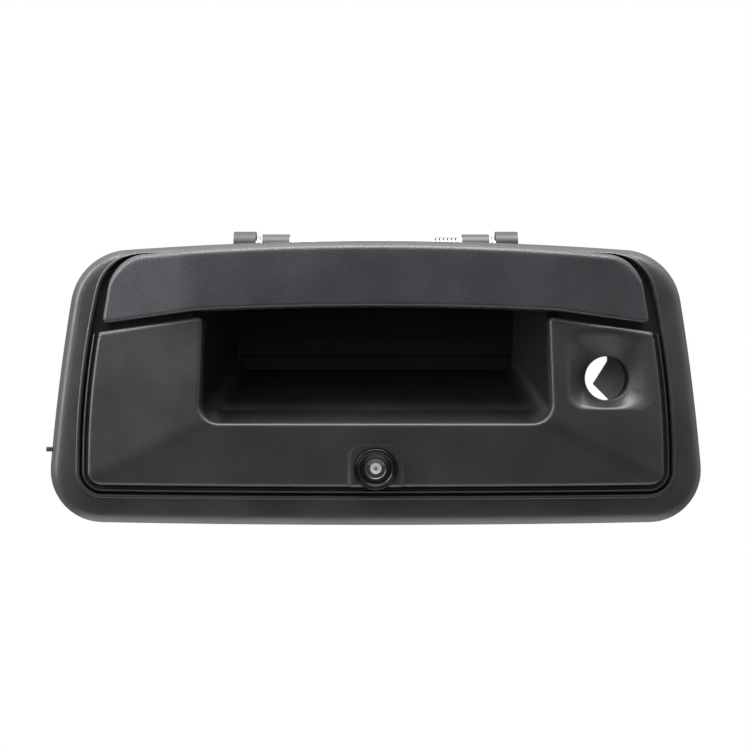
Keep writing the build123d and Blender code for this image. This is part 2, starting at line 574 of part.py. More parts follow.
def make_crank_pin():
    pin = rod_y(0, CRANK_Z, 3.45, BRIDGE_Y0 + 0.5, CRANK_Y0 - 1)
    pin += rod_y(0, CRANK_Z, 4.0, CRANK_Y0 - 1.1, CRANK_Y1 + 1.6)
    pin += extrude(Plane.XZ.offset(-CRANK_Y1 - 1.6) * (Pos(0, CRANK_Z) * RegularPolygon(6.5, 6)), amount=3.4,
                   dir=(0, 1, 0))
    return one(pin)


def make_crank_washer():
    return one(tube_y(0, CRANK_Z, 8.5, 4.1, CRANK_Y1 + 0.5, CRANK_Y1 + 1.5))


def make_rod_clip(z, side):
    """Swings on the crank: a stem through its hole and a split socket for the latch rod."""
    clip = rod_y(0, z, 2.5, CRANK_Y0 - 3, CRANK_Y1 + 1.2) + rod_y(0, z, 4.2, CRANK_Y1 + 0.25, CRANK_Y1 + 2.0)
    clip += rod_y(0, z, 5.2, CRANK_Y0 - 9.0, CRANK_Y0 - 0.25)
    arm = block(0, 15, CRANK_Y0 - 9.0, CRANK_Y0 - 1.5, z - 4.6, z + 4.6)
    clip += arm if side > 0 else mirror(arm, about=Plane.YZ)
    clip -= rod_x(CRANK_Y0 - 5.2, z, ROD_R, min(0, side * 20), max(0, side * 20))
    mouth = block(4.6, 20, CRANK_Y0 - 12, CRANK_Y0 - 5.2, z - 1.4, z + 1.4)
    clip -= mouth if side > 0 else mirror(mouth, about=Plane.YZ)
    return one(clip)


def make_crank_spring():
    turns, pitch, coil, wire = 4, 2.4, 10.6, 0.7
    helix = Helix(pitch, turns * pitch, coil)
    path = Pos(0, BRIDGE_Y1 + 5.0, CRANK_Z) * Rot(-90, 0, 0) * helix
    start, end = path @ 0, path @ 1
    spring = sweep(Plane(origin=start, z_dir=path % 0) * Circle(wire), path=path)
    spring += block(start.X - 0.7, start.X + 0.7, BRIDGE_Y1 + 0.1, start.Y, start.Z - 0.7, start.Z + 0.7)
    spring += block(end.X - 0.7, end.X + 0.7, end.Y, CRANK_Y0 - 0.1, end.Z - 0.7, end.Z + 0.7)
    return one(spring)


# ---------------------------------------------------------------- lock stop plate
def make_lock_stop():
    """A zinc plate behind the key sleeve, with a notched edge that keeps the lock cylinder in."""
    x, z = KEY_X, KEY_Z
    half = Polyline((x + 1, z - 17), (x + 17, z - 17), (x + 17, z + 17), (x + 3, z + 17), (x + 3, z + 9),
                    (x - 4.5, z - 3), (x + 3.5, z - 11), close=True)
    plate = extrude(Plane.XZ.offset(-SLEEVE_Y1 - 0.05) * make_face(half), amount=1.6, dir=(0, 1, 0))
    plate += rod_y(x + 14, z, 5, SLEEVE_Y1 + 0.05, SLEEVE_Y1 + 8)
    for sx, sz in LOCK_SCREWS:
        plate += rod_y(sx, sz, 4.0, SLEEVE_Y1 + 0.05, SLEEVE_Y1 + 1.65)
        plate -= rod_y(sx, sz, 1.3, SLEEVE_Y1 - 1, SLEEVE_Y1 + 3)
    return one(plate)


def make_handle_bumpers():
    return [one(rod_y(x, z, 2.0, -3.1, -0.2) + rod_y(x, z, 4.0, -6.0, -PLATE_THICK - 0.02)) for x, z in BUMPERS]


# ---------------------------------------------------------------- camera
def camera_at():
    """Camera frame: its own -Y is the way it looks, and y = 0 is its front face."""
    return Pos(0, -CAM_FACE_HEIGHT, CAM_Z) * Rot(CAM_TILT, 0, 0)


def cam_ring(outer, inner, y0, y1):
    piece = Pos(0, (y0 + y1) / 2, 0) * Rot(90, 0, 0) * Cylinder(outer, y1 - y0)
    if inner:
        piece -= Pos(0, (y0 + y1) / 2, 0) * Rot(90, 0, 0) * Cylinder(inner, y1 - y0 + 2)
    return piece


def cam_box(x0, x1, y0, y1, z0, z1):
    return block(x0, x1, y0, y1, z0, z1)


def place(piece):
    return one(camera_at() * piece)


CAM_SCREWS = [(sx * 8.5, sz * 8.5) for sx in (-1, 1) for sz in (-1, 1)]


def make_camera_parts():
    """All of the camera's own pieces, as a table of node name to its solids."""
    parts = {}
    body = cam_ring(CAM_RING_R, 0, 0.6, 5.2) + cam_box(-12, 12, 5.0, 15.0, -11.7, 11.7)
    body -= cam_ring(8.6, 0, -1, 5.6)
    body -= cam_ring(7.1, 0, 5, 7)
    body -= cam_box(-10.4, 10.4, 6.6, 16, -10.1, 10.1) - sum_screw_posts(2.0, 6.0, 15.0)
    body -= sum_screw_posts(0.9, 8.0, 20.0)
    parts["camera_front_shell"] = [place(body)]
    bezel = cam_ring(CAM_RING_R, 6.2, -1.2, 0.55) - cam_ring(9.6, 8.9, -2, -0.8)
    bezel += cam_ring(8.5, 7.3, 0.5, 3.0)
    parts["lens_bezel"] = [place(bezel)]
    window = cam_ring(7.2, 0, 0.6, 1.8)
    parts["lens_window"] = [place(window)]
    barrel = cam_ring(7.0, 4.4, 1.9, 6.2) + cam_ring(6.0, 4.4, 6.0, 9.6)
    parts["lens_barrel"] = [place(barrel)]
    parts["lens_retaining_ring"] = [place(cam_ring(6.9, 4.2, 1.0 + 0.82, 1.88))]
    front = Pos(0, 5.6, 0) * Sphere(4.2) & cam_ring(4.35, 0, 1.9, 4.4)
    parts["lens_front_element"] = [place(front)]
    parts["lens_iris"] = [place(cam_ring(4.35, 1.2, 4.5, 5.0))]
    rear = Pos(0, 3.2, 0) * Sphere(5.2) & cam_ring(4.3, 0, 5.1, 8.2)
    parts["lens_rear_element"] = [place(rear)]
    parts["image_sensor"] = [place(cam_box(-3.2, 3.2, 9.9, 10.9, -2.6, 2.6))]
    board = cam_box(-10.1, 10.1, 11.0, 12.4, -9.8, 9.8) - sum_screw_posts(2.3, 10.0, 14.0)
    parts["sensor_board"] = [place(board)]
    seal = cam_box(-11.9, 11.9, 15.05, 15.85, -11.6, 11.6) - cam_box(-10.6, 10.6, 14, 17, -10.5, 10.5)
    parts["camera_seal"] = [place(seal)]
    rear_shell = cam_box(-12, 12, 15.9, 18.3, -11.7, 11.7) + cam_box(-6.6, 6.6, 18.0, 33.0, -5.2, 5.2)
    rear_shell -= cam_box(-5.2, 5.2, 20.0, 34.0, -3.8, 3.8)
    rear_shell -= sum_screw_posts(1.3, 15, 19)
    for x in CAM_PIN_X:
        rear_shell -= cam_box(x - 0.45, x + 0.45, 15, 21, -0.45, 0.45)
    parts["camera_rear_shell"] = [place(rear_shell)]
    parts["socket_pins"] = [place(cam_box(x - 0.4, x + 0.4, 12.5, 25.0, -0.4, 0.4)) for x in CAM_PIN_X]
    screws = []
    for x, z in CAM_SCREWS:
        screw = Pos(x, 14.0, z) * Rot(90, 0, 0) * Cylinder(0.85, 9.0)
        screw += Pos(x, 19.0, z) * Rot(90, 0, 0) * Cylinder(1.8, 1.3)
        screw -= Pos(x, 19.8, z) * (Box(2.0, 1.2, 0.5) + Box(0.5, 1.2, 2.0))
        screws.append(place(screw))
    parts["camera_screws"] = screws
    return parts


def sum_screw_posts(radius, y0, y1):
    posts = [Pos(x, (y0 + y1) / 2, z) * Rot(90, 0, 0) * Cylinder(radius, y1 - y0) for x, z in CAM_SCREWS]
    return posts[0] + posts[1:]


if __name__ == "__main__":
    os.makedirs("parts", exist_ok=True)
    save("bezel_rim", make_bezel_rim())
    save("bezel_seal", make_bezel_seal())
    save("face_panel", make_face_panel())
    save("hand_cup", make_hand_cup())
    save("carrier", make_carrier())
    save("mounting_studs", *make_mounting_studs())
    save("rim_screws", *[small_screw(x, z, -1.5, 3.6) for x, z in RIM_SCREWS])
    save("panel_screws", *[small_screw(x, z, -1.5, 7.0) for x, z in PANEL_SCREWS])
    save("cup_screws", *[small_screw(x, z, BRIDGE_Y1, 6.5) for x, z in CUP_SCREWS])
    save("hinge_pin", make_hinge_pin())
    save("hinge_pin_clips", *make_hinge_pin_clips())
    save("hinge_bushes", *make_hinge_bushes())
    save("return_spring", make_return_spring())
    save("handle_cover", make_handle_cover())
    save("handle_frame", make_handle_frame())
    save("handle_screws", *make_handle_screws())
    save("handle_bumpers", *make_handle_bumpers())
    save("bell_crank", make_bell_crank())
    save("crank_bush", make_crank_bush())
    save("crank_pin", make_crank_pin())
    save("crank_washer", make_crank_washer())
    save("crank_spring", make_crank_spring())
    save("left_rod_clip", make_rod_clip(CRANK_Z + ROD_ARM, -1))
    save("right_rod_clip", make_rod_clip(CRANK_Z - ROD_ARM, 1))
    save("lock_stop_plate", make_lock_stop())
    save("lock_screws", *[small_screw(x, z, SLEEVE_Y1 + 1.65, 6.5) for x, z in LOCK_SCREWS])
    for name, pieces in make_camera_parts().items():
        save(name, *pieces)
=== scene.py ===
"""Looks for the tailgate handle with its backup camera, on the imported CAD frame. Metres, same frame."""
from math import atan2, cos, hypot, pi, radians, sin, tan

import bmesh
import bpy
import numpy as np
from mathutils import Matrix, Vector
from mathutils.geometry import delaunay_2d_cdt


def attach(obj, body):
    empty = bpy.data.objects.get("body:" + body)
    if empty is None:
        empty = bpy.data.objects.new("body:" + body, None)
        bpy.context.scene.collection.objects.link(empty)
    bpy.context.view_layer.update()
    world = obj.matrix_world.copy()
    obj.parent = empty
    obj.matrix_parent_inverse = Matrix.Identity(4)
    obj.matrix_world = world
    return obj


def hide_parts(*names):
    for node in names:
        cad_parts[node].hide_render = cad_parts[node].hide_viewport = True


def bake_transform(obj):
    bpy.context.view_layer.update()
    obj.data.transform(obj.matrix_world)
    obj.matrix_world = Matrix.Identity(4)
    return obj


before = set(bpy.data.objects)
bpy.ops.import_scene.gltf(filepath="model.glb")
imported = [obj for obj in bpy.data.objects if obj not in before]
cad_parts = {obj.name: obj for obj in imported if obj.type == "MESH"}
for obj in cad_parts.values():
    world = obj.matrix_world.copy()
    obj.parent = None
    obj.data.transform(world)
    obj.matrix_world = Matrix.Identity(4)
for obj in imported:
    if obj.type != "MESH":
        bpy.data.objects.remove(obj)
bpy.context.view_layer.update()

MM = 0.001

# ---------------------------------------------------------------- the part's own sizes, in mm
RIM_BOTTOM, RIM_SIDE, RIM_TOP = (170.9, -71.6), (164.4, -0.5), (154.0, 67.2)
RIM_BOTTOM_Z, RIM_TOP_Z, RIM_BOTTOM_R, RIM_TOP_R = -73.7, 73.9, 27.0, 31.0
WELL_BOTTOM, WELL_SIDE, WELL_TOP = (153.2, -57.6), (150.7, 5.0), (138.8, 66.4)
WELL_BOTTOM_Z, WELL_TOP_Z, WELL_BOTTOM_R, WELL_TOP_R = -58.8, 70.3, 12.5, 24.0
PANEL_GAP = 1.9
PANEL_CREST, PANEL_SIDE_SLOPE, PANEL_LOWER_SLOPE = 21.2, 0.138, 0.28
PANEL_LIP = 8.5
SHOULDER = (92.2, 33.7)
SHOULDER_SLOPE = 0.1475
OPEN_TOP_X, OPEN_BOTTOM_X, OPEN_BOTTOM_Z, OPEN_R = 88.1, 90.1, -20.3, 10.0
KEY_X, KEY_Z, KEY_R, KEY_FLOOR = 119.3, 2.5, 11.3, 8.8
CAM_Z, CAM_FACE, CAM_TILT, CAM_BORE = -44.0, 15.8, radians(12.0), 11.3
HANDLE_TOP_Z, HANDLE_TOP_CORNER, HANDLE_END = 71.1, (135.0, 64.6), (140.8, 30.4)
HANDLE_KINK, HANDLE_BOTTOM_Z = (91.7, 36.9), 39.2
HANDLE_FRONT, HANDLE_KNEE, HANDLE_END_SLOPE = 24.0, 93.0, 0.22
HANDLE_KINK_R, HANDLE_END_R, HANDLE_TOP_R = 22.0, 2.5, 20.5

# sections, as heights over the seat plane and distances in from an edge
PLATE_FACE = 3.1                                 # front of the carrier, where covers rest
RIM_CROWN, RIM_FALL, RIM_FALL_RUN = 9.15, 3.1, 6.5
RIM_BOW, RIM_BOW_RUN = 0.0016, 14.0
RIM_EDGE, RIM_EDGE_RUN, RIM_CREST = 3.0, 4.6, 0.55
RIM_SKIN, RIM_HEM, RIM_SEAT, RIM_SEAT_RUN = 2.3, 2.2, 1.5, 6.4
WELL_INSET = 0.55
ARM_X, ARM_Z = 66, 50                            # the handle's arms are inside this x, above this z
LIP_HALF, LIP_GROOVE_AT, LIP_RUN = 0.85, 2.5, 3.4
PANEL_SKIN, PANEL_HEM = 2.6, 5.6
OPEN_TOP_RISE, OPEN_TOP_R, OPEN_EDGE_R = 0.55, 2.4, 2.4
DISH, DISH_R, DISH_LEAN = (119.5, 7.4, 22.6, 20.6), 8.5, 0.045
NO_DISH = 60.0                                   # stands for no dish at a point, over every height
PAD, PAD_EDGE_R = (0.0, -47.5, 14.2, 17.0, 7.5), 2.2
KEY_EDGE_R = 0.7

# camera, light and backdrop, in metres and watts
VIEW_DISTANCE, VIEW_HALF_WIDTH, SENSOR_WIDTH = 0.85, 0.1955, 36.0
FLOOR_Z = -0.62
WORLD_BASE, WORLD_TOP, WORLD_SIDE, WORLD_BACK = 0.095, 2.1, 0.6, 0.35


# ---------------------------------------------------------------- outlines
def circle_through(p, q, r):
    (ax, az), (bx, bz), (cx, cz) = p, q, r
    d = 2 * (ax * (bz - cz) + bx * (cz - az) + cx * (az - bz))
    aa, bb, cc = ax * ax + az * az, bx * bx + bz * bz, cx * cx + cz * cz
    ux = (aa * (bz - cz) + bb * (cz - az) + cc * (az - bz)) / d
    uz = (aa * (cx - bx) + bb * (ax - cx) + cc * (bx - ax)) / d
    return np.array((ux, uz)), hypot(ax - ux, az - uz)


def arc_points(p, q, r, count):
    """Points from p through q to r on their circle."""
    centre, radius = circle_through(p, q, r)
    angles = [atan2(b - centre[1], a - centre[0]) for a, b in (p, q, r)]
    a0, a1, a2 = angles
    sweep = (a2 - a0) % (2 * pi)
    if (a1 - a0) % (2 * pi) > sweep:
        sweep -= 2 * pi
    t = a0 + np.linspace(0, 1, count) * sweep
    return centre + radius * np.stack([np.cos(t), np.sin(t)], 1)


def round_corner(before, after, radius, count=14):
    """Two point runs that meet at a corner, joined there by an arc of the given radius."""
    def offset_run(run):
        t = np.gradient(run, axis=0)
        t /= np.linalg.norm(t, axis=1)[:, None]
        return run + radius * np.stack([-t[:, 1], t[:, 0]], 1)
    a, b = offset_run(before), offset_run(after)
    gap = np.linalg.norm(a[:, None] - b[None], axis=2)
    i, j = np.unravel_index(np.argmin(gap), gap.shape)
    centre = (a[i] + b[j]) / 2
    a0 = atan2(*(before[i] - centre)[::-1])
    sweep = (atan2(*(after[j] - centre)[::-1]) - a0 + pi) % (2 * pi) - pi
    t = a0 + np.linspace(0, 1, count) * sweep
    arc = centre + radius * np.stack([np.cos(t), np.sin(t)], 1)
    return before[:i], arc, after[j + 1:]


def resample(loop, step, closed=True):
    """Even spacing along a run of points, keeping its ends."""
    pts = np.vstack([loop, loop[:1]]) if closed else loop
    seg = np.linalg.norm(np.diff(pts, axis=0), axis=1)
    keep = np.concatenate([[True], seg > 1e-6])
    pts = pts[keep]
    run = np.concatenate([[0], np.cumsum(np.linalg.norm(np.diff(pts, axis=0), axis=1))])
    count = max(int(round(run[-1] / step)), 2)
    at = np.linspace(0, run[-1], count + 1)
    out = np.stack([np.interp(at, run, pts[:, 0]), np.interp(at, run, pts[:, 1])], 1)
    return out[:-1] if closed else out


def four_sided(bottom, side, top, bottom_z, top_z, bottom_r, top_r, step=1.2):
    """The rounded outline that the rim and its well share, anticlockwise from bottom left."""
    (bx, bz), (sx, sz), (tx, tz) = bottom, side, top
    n = 900
    low = arc_points((-bx, bz), (0, bottom_z), (bx, bz), n)
    right = arc_points((bx, bz), (sx, sz), (tx, tz), n)
    high = arc_points((tx, tz), (0, top_z), (-tx, tz), n)
    left = right[::-1] * (-1, 1)
    low, c0, right = round_corner(low, right, bottom_r, 60)
    right, c1, high = round_corner(right, high, top_r, 60)
    high, c2, left = round_corner(high, left, top_r, 60)
    left, c3, low = round_corner(left, low, bottom_r, 60)
    return resample(np.vstack([low, c0, right, c1, high, c2, left, c3]), step)


def rim_loop(step=1.2):
    return four_sided(RIM_BOTTOM, RIM_SIDE, RIM_TOP, RIM_BOTTOM_Z, RIM_TOP_Z,
                      RIM_BOTTOM_R, RIM_TOP_R, step)


def well_loop(step=1.2):
    return four_sided(WELL_BOTTOM, WELL_SIDE, WELL_TOP, WELL_BOTTOM_Z, WELL_TOP_Z,
                      WELL_BOTTOM_R, WELL_TOP_R, step)


def inward(loop, distance):
    """A closed anticlockwise loop moved to its inner side."""
    t = np.roll(loop, -1, 0) - np.roll(loop, 1, 0)
    t /= np.linalg.norm(t, axis=1)[:, None]
    return loop + distance * np.stack([-t[:, 1], t[:, 0]], 1)


def distance_to(points, run, closed=True):
    """Distance from each point to a polyline."""
    a = run
    b = np.roll(run, -1, 0) if closed else run[1:]
    a = a if closed else run[:-1]
    d = b - a
    length2 = (d * d).sum(1)
    out = np.full(len(points), 1e9)
    for start in range(0, len(points), 4000):
        p = points[start:start + 4000]
        t = ((p[:, None] - a[None]) * d[None]).sum(2) / length2[None]
        near = a[None] + np.clip(t, 0, 1)[:, :, None] * d[None]
        out[start:start + 4000] = np.sqrt(((p[:, None] - near) ** 2).sum(2).min(1))
    return out


def inside(points, loop):
    x, z = points[:, 0], points[:, 1]
    result = np.zeros(len(points), bool)
    ax, az = loop[:, 0], loop[:, 1]
    bx, bz = np.roll(ax, -1), np.roll(az, -1)
    for i in range(len(loop)):
        cross = ((az[i] > z) != (bz[i] > z))
        with np.errstate(divide="ignore", invalid="ignore"):
            at = (bx[i] - ax[i]) * (z - az[i]) / (bz[i] - az[i]) + ax[i]
        result ^= cross & (x < at)
    return result


def smooth_min(a, b, k):
    """The lesser of two heights, blended over about k."""
    h = np.clip(0.5 + 0.5 * (b - a) / k, 0, 1)
    return b + (a - b) * h - k * h * (1 - h)


def smooth_max(a, b, k):
    return -smooth_min(-a, -b, k)


def quarter_round(t, r):
    """How far an edge of radius r drops at distance t inside it."""
    u = np.clip(r - t, 0, r)
    return r - np.sqrt(np.maximum(r * r - u * u, 0))


# ---------------------------------------------------------------- meshes from heights
RING_CLEAR = 0.35      # a ring of points keeps about this far from the other edges
EDGE_SHARE = 0.45      # grid points keep this share of their spacing from every edge
CROWD_SHARE = 0.62     # and this share of it from points already there
THINNEST = 0.2         # least thickness of a plate


def crowded(q, cell, spacing):
    """Whether a point is near one already kept; cell holds those by squares of the spacing."""
    cx, cz = int(q[0] // spacing), int(q[1] // spacing)
    return any((o[0] - q[0]) ** 2 + (o[1] - q[1]) ** 2 < (CROWD_SHARE * spacing) ** 2
               for ix in (cx - 1, cx, cx + 1) for iz in (cz - 1, cz, cz + 1)
               for o in cell.get((ix, iz), ()))


def plate(name, outer, holes, front, back, rings, spacing, extra=(), body="base"):
    """A closed mesh over an outline: a front and a back given as heights, and walls between them.

    rings is a list of (loop, distances): the mesh has rows of points that follow each loop at those
    distances inside the part, so that an edge's rounding is even. extra is a list of (test, spacing)
    for places that need a finer grid.
    """
    points, edges = [], []

    all_loops = [outer] + list(holes)
    for loop in all_loops:
        first, last = len(points), len(points) + len(loop)
        points.extend(loop)
        edges.extend((i, i + 1) for i in range(first, last - 1))
        edges.append((last - 1, first))

    def clearance(p):
        return np.min([distance_to(p, loop) for loop in all_loops], axis=0)

    def in_part(p):
        ok = inside(p, outer)
        for hole in holes:
            ok &= ~inside(p, hole)
        return ok

    for loop, distances in rings:
        for d in distances:
            run = inward(loop, d)
            good = in_part(run) & (clearance(run) > min(abs(d), RING_CLEAR) * 0.9)
            good &= distance_to(run, loop) > abs(d) * 0.97
            index = -np.ones(len(run), int)
            for i, keep in enumerate(good):
                if keep:
                    index[i] = len(points)
                    points.append(run[i])
            for i, j in zip(index, np.roll(index, -1)):
                if i >= 0 and j >= 0:
                    edges.append((i, j))
    fixed = np.array(points)
    low, high = outer.min(0), outer.max(0)
    grids = [(None, spacing)] + list(extra)
    seeds = []
    for test, s in grids:
        gx = np.arange(low[0], high[0], s)
        gz = np.arange(low[1], high[1], s * 0.866)
        xx, zz = np.meshgrid(gx, gz)
        xx = xx + (np.arange(len(gz)) % 2)[:, None] * s / 2
        p = np.stack([xx.ravel(), zz.ravel()], 1)
        if test is not None:
            p = p[test(p)]
        p = p[in_part(p)]
        p = p[clearance(p) > s * EDGE_SHARE]
        seeds.append((p, s))
    # drop coarse seeds that fall among finer ones or on a ring
    kept = fixed
    for p, s in sorted(seeds, key=lambda item: item[1]):
        if not len(p):
            continue
        cell = {}
        for q in kept:
            cell.setdefault((int(q[0] // s), int(q[1] // s)), []).append(q)
        chosen = [q for q in p if not crowded(q, cell, s)]
        if chosen:
            kept = np.vstack([kept, np.array(chosen)])
    verts = [Vector((float(a), float(b))) for a, b in kept]
    vo, _, fo, *_ = delaunay_2d_cdt(verts, edges, [], 0, 1e-5)
    flat = np.array([tuple(v) for v in vo])
    centre = np.array([flat[list(f)].mean(0) for f in fo])
    use = in_part(centre)
    tris = [f for f, ok in zip(fo, use) if ok]
    used = sorted({i for f in tris for i in f})
    remap = {old: new for new, old in enumerate(used)}
    flat = flat[used]
    tris = [[remap[i] for i in f] for f in tris]
    hf, hb = front(flat), back(flat)
    hb = np.minimum(hb, hf - THINNEST)
    mesh = bpy.data.meshes.new(name)
    bm = bmesh.new()
    top = [bm.verts.new((x * MM, -h * MM, z * MM)) for (x, z), h in zip(flat, hf)]
    bottom = [bm.verts.new((x * MM, -h * MM, z * MM)) for (x, z), h in zip(flat, hb)]
    count = {}
    for f in tris:
        a, b, c = f
        ab, ac = flat[b] - flat[a], flat[c] - flat[a]
        if ab[0] * ac[1] - ac[0] * ab[1] < 0:
            b, c = c, b
        bm.faces.new((top[a], top[b], top[c]))
        bm.faces.new((bottom[a], bottom[c], bottom[b]))
        for i, j in ((a, b), (b, c), (c, a)):
            count[(i, j)] = count.get((i, j), 0) + 1
    border = [(i, j) for i, j in count if (j, i) not in count]
    for i, j in border:
        bm.faces.new((top[j], top[i], bottom[i], bottom[j]))
    bm.normal_update()
    bm.to_mesh(mesh)
    bm.free()
    return add_piece(name, mesh, 38, body)


def add_piece(name, mesh, sharp, body):
    """A smooth-shaded piece that rides on a body."""
    for polygon in mesh.polygons:
        polygon.use_smooth = True
    piece = bpy.data.objects.new(name, mesh)
    bpy.context.collection.objects.link(piece)
    mark_sharp(piece, sharp)
    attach(piece, body)
    return piece


def mark_sharp(piece, angle):
    """Smooth shading that breaks at edges sharper than an angle in degrees."""
    bm = bmesh.new()
    bm.from_mesh(piece.data)
    for edge in bm.edges:
        if len(edge.link_faces) == 2:
            edge.smooth = edge.calc_face_angle(0) < radians(angle)
    bm.to_mesh(piece.data)
    bm.free()


# ---------------------------------------------------------------- trim rim
def rim_front(p):
    d = distance_to(p, RIM_FINE)
    t = distance_to(p, WELL_FINE)
    crown = RIM_CROWN - RIM_FALL * np.exp(-d / RIM_FALL_RUN) - RIM_BOW * np.maximum(RIM_BOW_RUN - d, 0) ** 2
    h = crown - (crown - RIM_EDGE) * np.clip(1 - d / RIM_EDGE_RUN, 0, 1) ** 2.3
    clear_of_arms = np.where(p[:, 1] > ARM_Z, np.clip((np.abs(p[:, 0]) - ARM_X) / 10, 0, 1), 1.0)
    crest = RIM_CREST * clear_of_arms * np.sqrt(np.clip(1 - (t - 1.0) ** 2, 0, 1))
    return h + crest - quarter_round(t, 0.5)


def rim_back(p):
    d = distance_to(p, RIM_FINE)
    t = distance_to(p, WELL_FINE)
    h = rim_front(p) - RIM_SKIN
    h = np.where(t < RIM_HEM, PLATE_FACE, h)
    return np.where(d < RIM_SEAT_RUN, RIM_SEAT, np.maximum(h, PLATE_FACE))


def drawn_in(well):
    """The well's edge moved inward to close the slit beside the carrier, but not round the arms."""
    below, beside = (ARM_Z - well[:, 1:]) / 15, (np.abs(well[:, :1]) - 70) / 20
    return well + (inward(well, WELL_INSET) - well) * np.clip(np.maximum(below, beside), 0, 1)


RIM_FINE, WELL_FINE = rim_loop(1.0), drawn_in(well_loop(1.0))


def make_rim():
    rows = [(RIM_FINE, (0.08, 0.25, 0.5, 0.85, 1.3, 1.9, 2.6, 3.5, 4.6, 6.35, 6.45)),
            (WELL_FINE, (-0.05, -0.14, -0.3, -0.6, -1.0, -1.4, -1.7, -1.88, -2.0, -2.15, -2.25))]
    return plate("rim_cover", RIM_FINE, [WELL_FINE[::-1]], rim_front, rim_back, rows, 2.2)


# ---------------------------------------------------------------- face panel
def panel_loops():
    """The panel's outline with the hand opening as a notch, then its run along the well and its notch."""
    side = inward(well_loop(0.6), PANEL_GAP)
    ix, iz = SHOULDER
    shoulder_at = iz - SHOULDER_SLOPE * (np.abs(side[:, 0]) - ix)
    below = side[:, 1] < shoulder_at
    # run of the side curve below the shoulders, from right shoulder round the bottom to the left one
    start = int(np.argmax(below & ~np.roll(below, 1)))
    order = np.roll(np.arange(len(side)), -start)
    run = side[order][below[order]]
    if run[0][0] > 0:
        run = run[::-1]
    left_end, right_end = run[0].copy(), run[-1].copy()
    for end in (left_end, right_end):
        end[1] = iz - SHOULDER_SLOPE * (abs(end[0]) - ix)
    run = np.vstack([left_end, run, right_end])
    top_z = iz + OPEN_TOP_RISE
    right_top = np.linspace(right_end, (OPEN_TOP_X, top_z), 400)
    down = np.linspace((OPEN_TOP_X, top_z), (OPEN_BOTTOM_X, OPEN_BOTTOM_Z), 400)
    floor = np.linspace((OPEN_BOTTOM_X, OPEN_BOTTOM_Z), (-OPEN_BOTTOM_X, OPEN_BOTTOM_Z), 1800)
    up = np.linspace((-OPEN_BOTTOM_X, OPEN_BOTTOM_Z), (-OPEN_TOP_X, top_z), 400)
    left_top = np.linspace((-OPEN_TOP_X, top_z), left_end, 400)
    right_top, c0, down = round_corner(right_top, down, OPEN_TOP_R, 12)
    down, c1, floor = round_corner_cw(down, floor, OPEN_R, 24)
    floor, c2, up = round_corner_cw(floor, up, OPEN_R, 24)
    up, c3, left_top = round_corner(up, left_top, OPEN_TOP_R, 12)
    inner = np.vstack([right_top, c0, down, c1, floor, c2, up, c3, left_top])
    inner = resample(inner, 0.9, closed=False)
    rest = resample(run, 0.9, closed=False)
    return np.vstack([rest[:-1], inner[:-1]]), rest, inner


def round_corner_cw(before, after, radius, count):
    """As round_corner, for a corner that turns clockwise."""
    flip = np.array((-1.0, 1.0))
    a, arc, b = round_corner(before * flip, after * flip, radius, count)
    return a * flip, arc * flip, b * flip


PANEL_OUTER, PANEL_SIDES, PANEL_INNER = panel_loops()


def ring_points(x, z, r, count, squash=1.0):
    t = np.linspace(0, 2 * pi, count, endpoint=False)
    return np.stack([x + r * np.cos(t), z + r * squash * np.sin(t)], 1)


KEY_LOOP = ring_points(KEY_X, KEY_Z, KEY_R, 84)
CAM_LOOP = ring_points(0, CAM_Z, CAM_BORE, 84, cos(CAM_TILT))


def rounded_box_sdf(p, cx, cz, hx, hz, r):
    """Signed distance to a rounded rectangle, negative inside."""
    qx = np.abs(p[:, 0] - cx) - (hx - r)
    qz = np.abs(p[:, 1] - cz) - (hz - r)
    out = np.hypot(np.maximum(qx, 0), np.maximum(qz, 0))
    return out + np.minimum(np.maximum(qx, qz), 0) - r


def panel_main(p):
    """The panel's broad surface: two side facets and a lower one, with soft ridges between."""
    x, z = np.abs(p[:, 0]), p[:, 1]
    sides = PANEL_CREST - PANEL_SIDE_SLOPE * (x - OPEN_TOP_X)
    lower = PANEL_CREST + PANEL_LOWER_SLOPE * (z - OPEN_BOTTOM_Z)
    return smooth_min(sides, lower, 1.1)


def key_dish(p, main):
    """Height of the funnel round the lock bore: a rounded square at the surface, a circle at the floor."""
    cx, cz, hx, hz = DISH
    box = rounded_box_sdf(p, cx - DISH_LEAN * (p[:, 1] - cz), cz, hx, hz, DISH_R)
    r = np.hypot(p[:, 0] - KEY_X, p[:, 1] - KEY_Z)
    to_hole = np.maximum(r - (KEY_R + 0.6), 0)
    to_edge = np.maximum(-box, 0)
    share = to_hole / np.maximum(to_hole + to_edge, 1e-6)
    return np.where(box < 0, KEY_FLOOR + (main + 0.9 - KEY_FLOOR) * share ** 0.92, NO_DISH)


def pad_height(p):
    """The camera boss: a tombstone-shaped face square to the lens."""
    face = CAM_FACE + (p[:, 1] - CAM_Z) * tan(CAM_TILT)
    edge = rounded_box_sdf(p, *PAD)
    drop = np.where(edge < 0, quarter_round(-edge, PAD_EDGE_R), PAD_EDGE_R + 3.0 * edge)
    return face - drop


